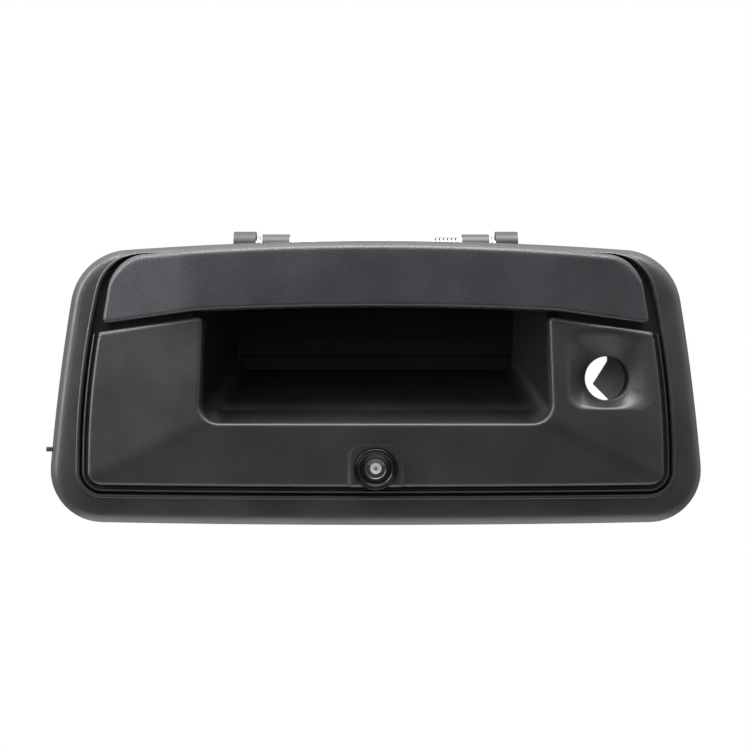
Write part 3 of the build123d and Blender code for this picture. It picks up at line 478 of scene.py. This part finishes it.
def panel_front(p):
    main = panel_main(p)
    dish = key_dish(p, main)
    h = np.where(dish < NO_DISH, smooth_min(main, dish, 1.8), main)
    pad = pad_height(p)
    h = np.where(pad > 0, smooth_max(h, pad, 1.3), h)
    h -= quarter_round(distance_to(p, PANEL_INNER, False), OPEN_EDGE_R)
    # a rounded lip round the sides and bottom, a groove behind it, then a rounded step up
    t = distance_to(p, PANEL_SIDES, False)
    stepped = np.where(t > LIP_RUN, h - quarter_round(t - LIP_RUN, 1.6), h)
    across = np.clip((t - LIP_HALF) / LIP_HALF, -1, 1)
    ledge = PANEL_LIP - 0.9 + 1.7 * np.sqrt(1 - across ** 2)
    ledge = np.where(t > LIP_GROOVE_AT, ledge - 1.6, ledge)
    h = np.where(t < LIP_RUN, np.minimum(ledge, stepped), stepped)
    key = np.hypot(p[:, 0] - KEY_X, p[:, 1] - KEY_Z) - KEY_R
    return np.where(key < KEY_EDGE_R, h - quarter_round(np.maximum(key, 0), KEY_EDGE_R), h)


def panel_back(p):
    h = np.maximum(panel_front(p) - PANEL_SKIN, PLATE_FACE)
    key = np.hypot(p[:, 0] - KEY_X, p[:, 1] - KEY_Z) - KEY_R
    h = np.where(distance_to(p, PANEL_SIDES, False) < PANEL_HEM, PLATE_FACE, h)
    h = np.where(distance_to(p, PANEL_INNER, False) < OPEN_EDGE_R, 5.3, h)
    return np.where(key < 2.3, 3.5, h)


def make_panel():
    # rows of points close together on each rounding, and one on either side of each step in height
    lip = (0.06, 0.15, 0.3, 0.5, 0.85, 1.2, 1.45, 1.6, 1.7, 2.46, 2.54, 3.38, 3.43, 3.5, 3.7, 4.0, 4.4,
           5.0, 5.55, 5.65)
    edge = (0.06, 0.15, 0.3, 0.6, 0.85, 1.2, 1.45, 1.7, 2.0, 2.35, 2.45, 3.2)
    key = (-0.12, -0.35, -0.7, -1.2, -2.25, -2.35)
    cam = (-0.15, -0.4)
    rows = [(PANEL_OUTER, sorted(set(lip + edge))), (KEY_LOOP, key), (CAM_LOOP, cam)]
    fine = [(lambda p: rounded_box_sdf(p, 119.5, 7.65, 25, 23, 9) < 0, 0.75),
            (lambda p: rounded_box_sdf(p, 0.0, -46, 19, 17, 8) < 0, 0.75)]
    return plate("panel_cover", PANEL_OUTER, [KEY_LOOP[::-1], CAM_LOOP[::-1]], panel_front, panel_back, rows,
                 2.4, fine)


# ---------------------------------------------------------------- handle cover
def handle_loop(step=1.0):
    ex, ez = HANDLE_END
    kx, kz = HANDLE_KINK
    tx, tz = HANDLE_TOP_CORNER
    bottom = arc_points((-kx, kz), (0, HANDLE_BOTTOM_Z), (kx, kz), 1200)
    right_low = np.linspace((kx, kz), (ex, ez), 500)
    right = np.linspace((ex, ez), (tx, tz), 500)
    top = arc_points((tx, tz), (0, HANDLE_TOP_Z), (-tx, tz), 1800)
    left = np.linspace((-tx, tz), (-ex, ez), 500)
    left_low = np.linspace((-ex, ez), (-kx, kz), 500)
    bottom, k0, right_low = round_corner_cw(bottom, right_low, HANDLE_KINK_R, 16)
    right_low, c0, right = round_corner(right_low, right, HANDLE_END_R, 10)
    right, c1, top = round_corner(right, top, HANDLE_TOP_R, 40)
    top, c2, left = round_corner(top, left, HANDLE_TOP_R, 40)
    left, c3, left_low = round_corner(left, left_low, HANDLE_END_R, 10)
    left_low, k1, bottom = round_corner_cw(left_low, bottom, HANDLE_KINK_R, 16)
    runs = [bottom, k0, right_low, c0, right, c1, top, c2, left, c3, left_low, k1]
    return resample(np.vstack(runs), step)


HANDLE_LOOP = handle_loop()


def handle_front(p):
    x, z = np.abs(p[:, 0]), p[:, 1]
    flat = HANDLE_FRONT - 0.0009 * (z - 52.0) ** 2
    ends = HANDLE_FRONT - HANDLE_END_SLOPE * (x - HANDLE_KNEE)
    h = smooth_min(flat, ends, 1.5)
    t = distance_to(p, HANDLE_LOOP)
    upper = np.clip((z - 50.0) / 8.0, 0, 1)
    radius = 1.9 + 1.7 * upper
    u = np.clip(radius - t, 0, None)
    return h - (radius - np.sqrt(np.maximum(radius ** 2 - u ** 2, 0)))


def handle_back(p):
    rear = 4.4 + 5.4 * (p[:, 1] - 31.0) / 37.0
    return np.where(distance_to(p, HANDLE_LOOP) < 2.5, rear, handle_front(p) - 2.5)


def make_handle():
    rows = [(HANDLE_LOOP, (0.06, 0.2, 0.4, 0.7, 1.1, 1.5, 2.0, 2.45, 2.55, 3.1, 3.7))]
    return plate("handle_shell", HANDLE_LOOP, [], handle_front, handle_back, rows, 2.2,
                 body="handle")


# ---------------------------------------------------------------- camera face
def turned(name, profile, count=96, closed=True):
    """A turned piece on the camera's axis; its profile is radius and distance ahead of the face."""
    ahead = Vector((0, -cos(CAM_TILT), -sin(CAM_TILT)))
    up = Vector((0, -sin(CAM_TILT), cos(CAM_TILT)))
    across = Vector((1, 0, 0))
    centre = Vector((0, -CAM_FACE, CAM_Z))
    verts, faces = [], []
    for r, s in profile:
        for k in range(count):
            t = 2 * pi * k / count
            verts.append((centre + ahead * s + (across * cos(t) + up * sin(t)) * r) * MM)
    rings = len(profile)
    for i in range(rings if closed else rings - 1):
        j = (i + 1) % rings
        for k in range(count):
            m = (k + 1) % count
            faces.append((i * count + k, i * count + m, j * count + m, j * count + k))
    mesh = bpy.data.meshes.new(name)
    mesh.from_pydata(verts, [], faces)
    bm = bmesh.new()
    bm.from_mesh(mesh)
    bmesh.ops.recalc_face_normals(bm, faces=bm.faces)
    bm.to_mesh(mesh)
    bm.free()
    return add_piece(name, mesh, 40, "base")


def bead(r0, r1, low, high, count=7):
    """Half-round bead in a turned profile, from radius r0 to r1."""
    return [(r0 + (r1 - r0) * (0.5 - 0.5 * cos(pi * k / count)), low + (high - low) * sin(pi * k / count))
            for k in range(count + 1)]


def make_lens():
    outer = [(10.9, -0.55)] + bead(10.85, 9.9, 0.15, 0.95) + [(9.8, 0.1)] + bead(9.7, 8.5, 0.2, 1.0)
    outer += [(8.35, 0.1), (8.2, -0.1), (6.3, -0.5), (6.2, -0.55)]
    ribs = []
    for k in range(6):
        r = 8.15 - 0.42 * k
        ribs += [(r, -0.1 - 0.08 * k), (r - 0.18, -0.24 - 0.08 * k), (r - 0.36, -0.18 - 0.08 * k)]
    baffle = ribs + [(5.4, -0.75), (5.3, -1.7), (8.25, -1.7)]
    lip = bead(5.45, 4.95, -0.7, -0.2) + [(4.95, -0.8), (5.45, -0.8)]
    seat = [(5.0, -0.78), (4.6, -0.95), (4.0, -1.25), (3.5, -1.4), (3.3, -1.5), (3.3, -1.85), (5.0, -1.85)]
    dome = [(3.25 * sin(a) / sin(0.9), -1.75 + 0.9 * (cos(a) - cos(0.9)) / (1 - cos(0.9)))
            for a in np.linspace(0.9, 0.004, 22)]
    dome += [(0.004, -2.4), (3.25, -2.4)]
    return (turned("camera_bezel_ring", outer), turned("lens_baffle", baffle),
            turned("lens_lip", lip), turned("lens_seat", seat),
            turned("front_lens", dome))


def make_peg():
    """Small locating peg on the rim's left flank, rounded at its end."""
    bm = bmesh.new()
    bmesh.ops.create_cube(bm, size=1.0)
    for v in bm.verts:
        v.co = Vector((-168.3 + v.co.x * 5.6, -2.8 + v.co.y * 2.4, -34.3 + v.co.z * 2.5)) * MM
    bmesh.ops.bevel(bm, geom=bm.edges[:], offset=0.55 * MM, segments=3, affect="EDGES", profile=0.6)
    mesh = bpy.data.meshes.new("locating_peg")
    bm.to_mesh(mesh)
    bm.free()
    return add_piece("locating_peg", mesh, 50, "base")


# ---------------------------------------------------------------- materials
def new_material(name, **sockets):
    """A Principled material with its constants set, and its nodes, links and shader."""
    material = bpy.data.materials.new(name)
    material.use_nodes = True
    tree = material.node_tree
    shader = tree.nodes["Principled BSDF"]
    for key, value in sockets.items():
        shader.inputs[key.replace("_", " ")].default_value = value
    return material, tree, shader


def node(tree, kind, **settings):
    n = tree.nodes.new(kind)
    for key, value in settings.items():
        if key in n.inputs:
            n.inputs[key].default_value = value
        else:
            setattr(n, key, value)
    return n


def place_noise(tree, scale, detail=3.0, rough=0.5, stretch=None):
    """Noise in the part's own space."""
    where = node(tree, "ShaderNodeTexCoord")
    out = where.outputs["Object"]
    if stretch:
        mapping = node(tree, "ShaderNodeMapping")
        mapping.inputs["Scale"].default_value = stretch
        tree.links.new(out, mapping.inputs["Vector"])
        out = mapping.outputs["Vector"]
    n = node(tree, "ShaderNodeTexNoise")
    n.inputs["Scale"].default_value = scale
    n.inputs["Detail"].default_value = detail
    n.inputs["Roughness"].default_value = rough
    tree.links.new(out, n.inputs["Vector"])
    return n


def ramp(tree, source, low, high, a, b):
    """Maps a value from low..high to a..b."""
    n = node(tree, "ShaderNodeMapRange")
    for key, value in (("From Min", low), ("From Max", high), ("To Min", a), ("To Max", b)):
        n.inputs[key].default_value = value
    tree.links.new(source, n.inputs["Value"])
    return n.outputs["Result"]


def colour_ramp(tree, source, stops):
    n = node(tree, "ShaderNodeValToRGB")
    items = n.color_ramp.elements
    while len(items) < len(stops):
        items.new(0.5)
    for item, (at, colour) in zip(items, stops):
        item.position = at
        item.color = (*colour, 1.0)
    tree.links.new(source, n.inputs["Fac"])
    return n.outputs["Color"]


def bump(tree, shader, layers):
    """Stacks bumps: each layer is a height output, a strength and a distance in metres."""
    last = None
    for source, strength, distance in layers:
        n = node(tree, "ShaderNodeBump")
        n.inputs["Strength"].default_value = strength
        n.inputs["Distance"].default_value = distance
        tree.links.new(source, n.inputs["Height"])
        if last:
            tree.links.new(last, n.inputs["Normal"])
        last = n.outputs["Normal"]
    tree.links.new(last, shader.inputs["Normal"])


def moulded(name, dark, light, roughness=(0.42, 0.56), grain=2600.0, grain_strength=0.35, painted_edge_highlight=True,
            specular=0.5, grain_depth=0.00006):
    """Moulded plastic: a fine spark-eroded grain, faint flow marks, and convex edges lightened as a painted
    highlight.
    """
    material, tree, shader = new_material(name, Specular_IOR_Level=specular)
    broad = place_noise(tree, 22.0, 4.0, 0.6)
    fine = place_noise(tree, grain, 2.0, 0.6)
    cells = node(tree, "ShaderNodeTexVoronoi")
    cells.inputs["Scale"].default_value = grain * 0.8
    where = node(tree, "ShaderNodeTexCoord")
    tree.links.new(where.outputs["Object"], cells.inputs["Vector"])
    base = colour_ramp(tree, broad.outputs["Fac"], [(0.35, dark), (0.65, light)])
    fleck = node(tree, "ShaderNodeMix", data_type="RGBA", blend_type="MULTIPLY")
    fleck.inputs["Factor"].default_value = 1.0
    tree.links.new(base, fleck.inputs["A"])
    speck = colour_ramp(tree, fine.outputs["Fac"], [(0.3, (0.80, 0.80, 0.80)), (0.7, (1.0, 1.0, 1.0))])
    tree.links.new(speck, fleck.inputs["B"])
    out = fleck.outputs["Result"]
    if painted_edge_highlight:
        # painted highlight: convex edges, found by pointiness, are mixed toward a lighter colour
        geo = node(tree, "ShaderNodeNewGeometry")
        edge = ramp(tree, geo.outputs["Pointiness"], 0.515, 0.56, 0.0, 0.22)
        edge_highlight_mix = node(tree, "ShaderNodeMix", data_type="RGBA")
        tree.links.new(edge, edge_highlight_mix.inputs["Factor"])
        tree.links.new(out, edge_highlight_mix.inputs["A"])
        edge_highlight_mix.inputs["B"].default_value = (light[0] * 2.2, light[1] * 2.2, light[2] * 2.2, 1)
        out = edge_highlight_mix.outputs["Result"]
    tree.links.new(out, shader.inputs["Base Color"])
    tree.links.new(ramp(tree, broad.outputs["Fac"], 0.3, 0.7, *roughness), shader.inputs["Roughness"])
    bump(tree, shader, [(fine.outputs["Fac"], grain_strength, grain_depth),
                        (cells.outputs["Distance"], grain_strength * 0.6, grain_depth * 0.7)])
    return material


def metal(name, colour, roughness=(0.28, 0.42), stretch=(60, 900, 900), grime=(0.25, 0.22, 0.18),
          metallic=1.0):
    """Plated or ground steel with a directional finish and dull patches."""
    material, tree, shader = new_material(name, Metallic=metallic)
    lines = place_noise(tree, 1.0, 3.0, 0.6, stretch)
    broad = place_noise(tree, 90.0, 5.0, 0.65)
    colours = colour_ramp(tree, broad.outputs["Fac"], [
        (0.25, tuple(c * 0.72 + g * 0.1 for c, g in zip(colour, grime))), (0.55, colour)])
    tree.links.new(colours, shader.inputs["Base Color"])
    both = node(tree, "ShaderNodeMath", operation="ADD")
    tree.links.new(lines.outputs["Fac"], both.inputs[0])
    tree.links.new(broad.outputs["Fac"], both.inputs[1])
    tree.links.new(ramp(tree, both.outputs["Value"], 0.6, 1.4, *roughness), shader.inputs["Roughness"])
    bump(tree, shader, [(lines.outputs["Fac"], 0.15, 0.00004)])
    return material


def lens_glass():
    """Front lens: pale rings painted in the base colour as painted reflections, round a dark pupil, under
    clear gloss.
    """
    material, tree, shader = new_material("front_lens_painted_reflections", Roughness=0.08, Coat_Weight=1.0,
                                          Coat_Roughness=0.03)
    where = node(tree, "ShaderNodeTexCoord")
    gap = node(tree, "ShaderNodeVectorMath", operation="DISTANCE")
    tree.links.new(where.outputs["Object"], gap.inputs[0])
    middle = (0, -(CAM_FACE - 1.2 * cos(CAM_TILT)) * MM, (CAM_Z + 1.2 * sin(CAM_TILT)) * MM)
    gap.inputs[1].default_value = middle
    share = ramp(tree, gap.outputs["Value"], 0.0, 0.0036, 0.0, 1.0)
    # painted reflections: the pale rings in the base colour stand for light reflected in the lens
    rings = [(0.0, (0.02, 0.012, 0.008)), (0.20, (0.03, 0.02, 0.012)), (0.26, (0.62, 0.58, 0.50)),
             (0.35, (0.30, 0.26, 0.21)), (0.43, (0.80, 0.77, 0.70)), (0.52, (0.42, 0.39, 0.34)),
             (0.62, (0.85, 0.82, 0.76)), (0.80, (0.55, 0.52, 0.48)), (0.90, (0.03, 0.03, 0.035))]
    tree.links.new(colour_ramp(tree, share, rings), shader.inputs["Base Color"])
    return material


def smudge(tree, shader, low, high):
    """Roughness in faint patches from low to high."""
    patches = place_noise(tree, 260.0, 4.0, 0.6)
    tree.links.new(ramp(tree, patches.outputs["Fac"], 0.4, 0.75, low, high), shader.inputs["Roughness"])


def clear_window():
    """Thin hard-coated cover glass, almost free of reflection."""
    material, tree, shader = new_material("cover_glass", Alpha=0.05, Base_Color=(0.6, 0.65, 0.7, 1))
    smudge(tree, shader, 0.02, 0.1)
    return material


def coated_glass():
    """Clear glass of the lens elements behind the front one."""
    material, tree, shader = new_material("coated_glass", Base_Color=(0.86, 0.92, 0.97, 1),
                                          Transmission_Weight=1.0, IOR=1.5)
    smudge(tree, shader, 0.01, 0.06)
    return material


TEXTURED = moulded("textured_black_plastic", (0.0165, 0.0175, 0.0195), (0.022, 0.0235, 0.026), (0.34, 0.48),
                   1700.0, 0.8,
                   grain_depth=0.00009)
HANDLE_MAT = moulded("handle_black_plastic", (0.021, 0.0225, 0.0255), (0.028, 0.030, 0.034), (0.36, 0.48),
                     1500.0, 1.0,
                     grain_depth=0.00011)
# painted shade: the hand cup's plastic is the panel's black, made several times darker for the shade inside
# the cup
CUP_SHADE_MAT = moulded("cup_plastic_painted_shade", (0.004, 0.004, 0.0046), (0.006, 0.006, 0.0068), (0.4, 0.55), 3200.0,
                  0.15, False, 0.25)
# painted shade: the carrier is darkened so the gaps round the handle and the lugs behind it read as shadowed
# black
CARRIER_SHADE_MAT = moulded("carrier_nylon_painted_shade", (0.007, 0.007, 0.0076), (0.012, 0.012, 0.013), (0.45, 0.65), 900.0,
                      0.3, True)
FRAME_MAT = moulded("frame_nylon", (0.014, 0.0145, 0.0155), (0.022, 0.0225, 0.024), (0.42, 0.6), 1100.0,
                    0.3, True)
FOAM = moulded("cell_foam", (0.012, 0.012, 0.012), (0.022, 0.022, 0.022), (0.85, 0.98), 700.0, 1.0, False,
               0.2, 0.0003)
RUBBER = moulded("soft_rubber", (0.012, 0.012, 0.012), (0.020, 0.020, 0.020), (0.6, 0.8), 1500.0, 0.3,
                 False, 0.35)
GLOSS = moulded("camera_gloss_plastic", (0.003, 0.003, 0.0034), (0.005, 0.005, 0.0056), (0.16, 0.26),
                1500.0, 0.03, False, 0.35)
LENS_BLACK = moulded("blackened_barrel", (0.003, 0.003, 0.0036), (0.006, 0.006, 0.007), (0.3, 0.45), 2200.0,
                     0.1, False, 0.3)
BUSH = moulded("acetal", (0.55, 0.53, 0.47), (0.66, 0.64, 0.58), (0.35, 0.5), 1400.0, 0.12, False)
CLIP = moulded("clip_acetal", (0.02, 0.075, 0.035), (0.03, 0.10, 0.05), (0.35, 0.5), 1400.0, 0.15, True)
ZINC_STEEL = metal("zinc_plated_steel", (0.60, 0.58, 0.52))
BLACK_ZINC = metal("black_zinc_steel", (0.045, 0.045, 0.05), (0.35, 0.5))
BRIGHT = metal("ground_steel", (0.68, 0.68, 0.67), (0.16, 0.28), (30, 1500, 1500))
SPRING = metal("spring_wire", (0.34, 0.34, 0.35), (0.25, 0.4), (800, 800, 800))
CRANK = metal("pressed_steel", (0.52, 0.50, 0.44), (0.3, 0.5), (250, 250, 900))
CAST_ZINC = metal("cast_zinc", (0.66, 0.64, 0.59), (0.5, 0.65), (300, 300, 300), metallic=0.1)
ALUMINIUM = metal("turned_ring", (0.36, 0.36, 0.38), (0.3, 0.4), (1800, 100, 1800))
BRASS = metal("plated_contact", (0.72, 0.55, 0.25), (0.2, 0.35))
BOARD = moulded("solder_mask", (0.010, 0.085, 0.035), (0.014, 0.115, 0.05), (0.25, 0.35), 600.0, 0.1, False)
SENSOR = moulded("sensor_chip", (0.02, 0.025, 0.04), (0.03, 0.04, 0.06), (0.12, 0.2), 2600.0, 0.05, False)

GLASS = coated_glass()

SLOTS = {
    "carrier": CARRIER_SHADE_MAT, "bezel_seal": FOAM, "handle_bumpers": RUBBER, "camera_seal": RUBBER,
    "hand_cup": CUP_SHADE_MAT, "handle_frame": FRAME_MAT, "mounting_studs": ZINC_STEEL,
    "rim_screws": BLACK_ZINC, "panel_screws": ZINC_STEEL, "cup_screws": ZINC_STEEL,
    "handle_screws": BLACK_ZINC, "lock_screws": ZINC_STEEL, "camera_screws": ZINC_STEEL,
    "crank_pin": ZINC_STEEL, "crank_washer": ZINC_STEEL, "hinge_pin": BRIGHT, "hinge_pin_clips": SPRING,
    "return_spring": SPRING, "crank_spring": SPRING, "hinge_bushes": BUSH, "crank_bush": BUSH,
    "bell_crank": CRANK, "lock_stop_plate": CAST_ZINC, "left_rod_clip": CLIP, "right_rod_clip": CLIP,
    "camera_front_shell": GLOSS, "lens_bezel": GLOSS, "camera_rear_shell": GLOSS,
    "lens_window": clear_window(), "lens_front_element": GLASS, "lens_rear_element": GLASS,
    "lens_barrel": LENS_BLACK, "lens_iris": LENS_BLACK, "lens_retaining_ring": ALUMINIUM,
    "image_sensor": SENSOR, "sensor_board": BOARD, "socket_pins": BRASS, "bezel_rim": TEXTURED,
    "face_panel": TEXTURED, "handle_cover": HANDLE_MAT,
}


def dress(obj, material):
    if not obj.material_slots:
        obj.data.materials.append(material)
    for s in obj.material_slots:
        s.material = material


for _name, _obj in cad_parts.items():
    dress(_obj, SLOTS[_name])


# ---------------------------------------------------------------- pieces
rim = make_rim()
dress(rim, TEXTURED)
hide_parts("bezel_rim")
panel = make_panel()
dress(panel, TEXTURED)
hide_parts("face_panel")
cover = make_handle()
dress(cover, HANDLE_MAT)
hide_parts("handle_cover")
dress(make_peg(), TEXTURED)
coil = bpy.data.objects.new("return_spring_coil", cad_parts["return_spring"].data.copy())
bpy.context.collection.objects.link(coil)
dress(coil, SPRING)
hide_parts("return_spring")
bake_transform(coil)
ring, baffle, lip, seat, front_lens = make_lens()
for _piece in (ring, seat):
    dress(_piece, GLOSS)
dress(baffle, LENS_BLACK)
dress(lip, ALUMINIUM)
dress(front_lens, lens_glass())
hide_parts("lens_bezel")
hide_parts("lens_barrel")
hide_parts("lens_retaining_ring")
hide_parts("lens_front_element")


# ---------------------------------------------------------------- stage, light and camera
floor_mesh = bpy.data.meshes.new("floor")
floor_corners = [(-0.5, -0.45, 0), (0.5, -0.45, 0), (0.5, 0.55, 0), (-0.5, 0.55, 0)]
floor_mesh.from_pydata(floor_corners, [], [(0, 1, 2, 3)])
floor = bpy.data.objects.new("floor", floor_mesh)
floor.location.z = FLOOR_Z
bpy.context.collection.objects.link(floor)
floor_material, _, _ = new_material("pale_floor", Roughness=0.85, Base_Color=(0.85, 0.85, 0.85, 1))
dress(floor, floor_material)


def studio_world():
    """White backdrop; the light comes from above and the sides, and little from in front."""
    world = bpy.data.worlds.new("studio")
    world.use_nodes = True
    tree = world.node_tree
    where = node(tree, "ShaderNodeTexCoord")
    parts = node(tree, "ShaderNodeSeparateXYZ")
    tree.links.new(where.outputs["Generated"], parts.inputs["Vector"])
    side = node(tree, "ShaderNodeMath", operation="ABSOLUTE")
    tree.links.new(parts.outputs["X"], side.inputs[0])
    terms = [ramp(tree, parts.outputs["Z"], 0.15, 0.95, 0.0, WORLD_TOP),
             ramp(tree, side.outputs["Value"], 0.45, 0.95, 0.0, WORLD_SIDE),
             ramp(tree, parts.outputs["Y"], -0.4, 0.9, 0.0, WORLD_BACK)]
    total = None
    for term in terms:
        add = node(tree, "ShaderNodeMath", operation="ADD")
        tree.links.new(term, add.inputs[0])
        if total:
            tree.links.new(total, add.inputs[1])
        else:
            add.inputs[1].default_value = WORLD_BASE
        total = add.outputs["Value"]
    seen = node(tree, "ShaderNodeLightPath")
    pick = node(tree, "ShaderNodeMix", data_type="FLOAT")
    tree.links.new(seen.outputs["Is Camera Ray"], pick.inputs[0])
    tree.links.new(total, pick.inputs[2])
    pick.inputs[3].default_value = 1.0
    background = tree.nodes["Background"]
    background.inputs["Color"].default_value = (1, 1, 1, 1)
    tree.links.new(pick.outputs[0], background.inputs["Strength"])
    return world


bpy.context.scene.world = studio_world()


def area_light(name, place, target, width, height, power):
    data = bpy.data.lights.new(name, "AREA")
    data.shape = "RECTANGLE"
    data.size, data.size_y = width, height
    data.energy = power
    light = bpy.data.objects.new(name, data)
    light.location = place
    light.rotation_euler = (Vector(target) - Vector(place)).to_track_quat("-Z", "Y").to_euler()
    bpy.context.collection.objects.link(light)
    return light


area_light("overhead", (0.0, -0.25, 0.9), (0, 0, 0), 1.3, 0.3, 24)
area_light("left_strip", (-0.85, -0.28, 0.3), (0, 0, 0), 0.25, 0.8, 10)

camera_data = bpy.data.cameras.new("camera")
camera = bpy.data.objects.new("camera", camera_data)
camera_data.sensor_width = SENSOR_WIDTH
camera_data.lens = SENSOR_WIDTH * VIEW_DISTANCE / (2 * VIEW_HALF_WIDTH)
camera.location = (-0.0004, -VIEW_DISTANCE, 0.0042)
camera.rotation_euler = (pi / 2, 0, 0)
bpy.context.collection.objects.link(camera)
bpy.context.scene.camera = camera
bpy.context.scene.view_settings.view_transform = "Standard"
